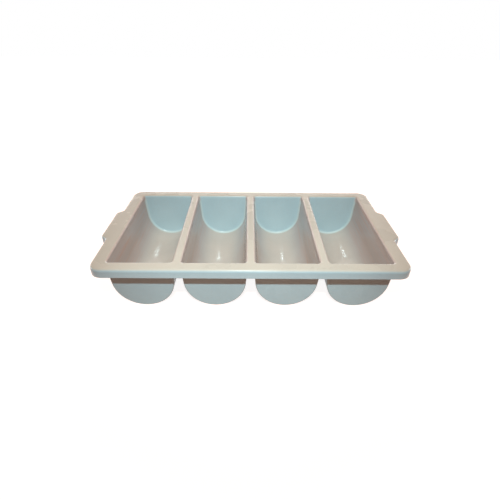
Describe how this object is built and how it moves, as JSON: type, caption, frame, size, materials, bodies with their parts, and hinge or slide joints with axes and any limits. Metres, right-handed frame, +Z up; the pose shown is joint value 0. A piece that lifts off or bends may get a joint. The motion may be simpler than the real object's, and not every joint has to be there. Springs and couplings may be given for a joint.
{
  "type": "cutlery tray",
  "caption": "Moulded plastic cutlery tray: round-bottomed troughs side by side under a flat rim with a turned-down skirt, dividers between them and a grip lug at each end.",
  "frame": {"origin": "on the table under the middle of the tray, at the level of the troughs' lowest lines", "axes": "+X along the row of troughs, +Y from front to back along each trough, +Z up"},
  "size_m": [0.5272, 0.2924, 0.0914],
  "materials": {
    "tray_plastic": "satin light grey moulded polypropylene"
  },
  "bodies": {
    "root": {"rim_front": "tray_plastic", "rim_back": "tray_plastic", "rim_left": "tray_plastic", "rim_right": "tray_plastic", "handle_left": "tray_plastic", "handle_right": "tray_plastic", "divider_left": "tray_plastic", "divider_centre": "tray_plastic", "divider_right": "tray_plastic", "trough_left": "tray_plastic", "trough_centre_left": "tray_plastic", "trough_centre_right": "tray_plastic", "trough_right": "tray_plastic"}
  },
  "joints": []
}
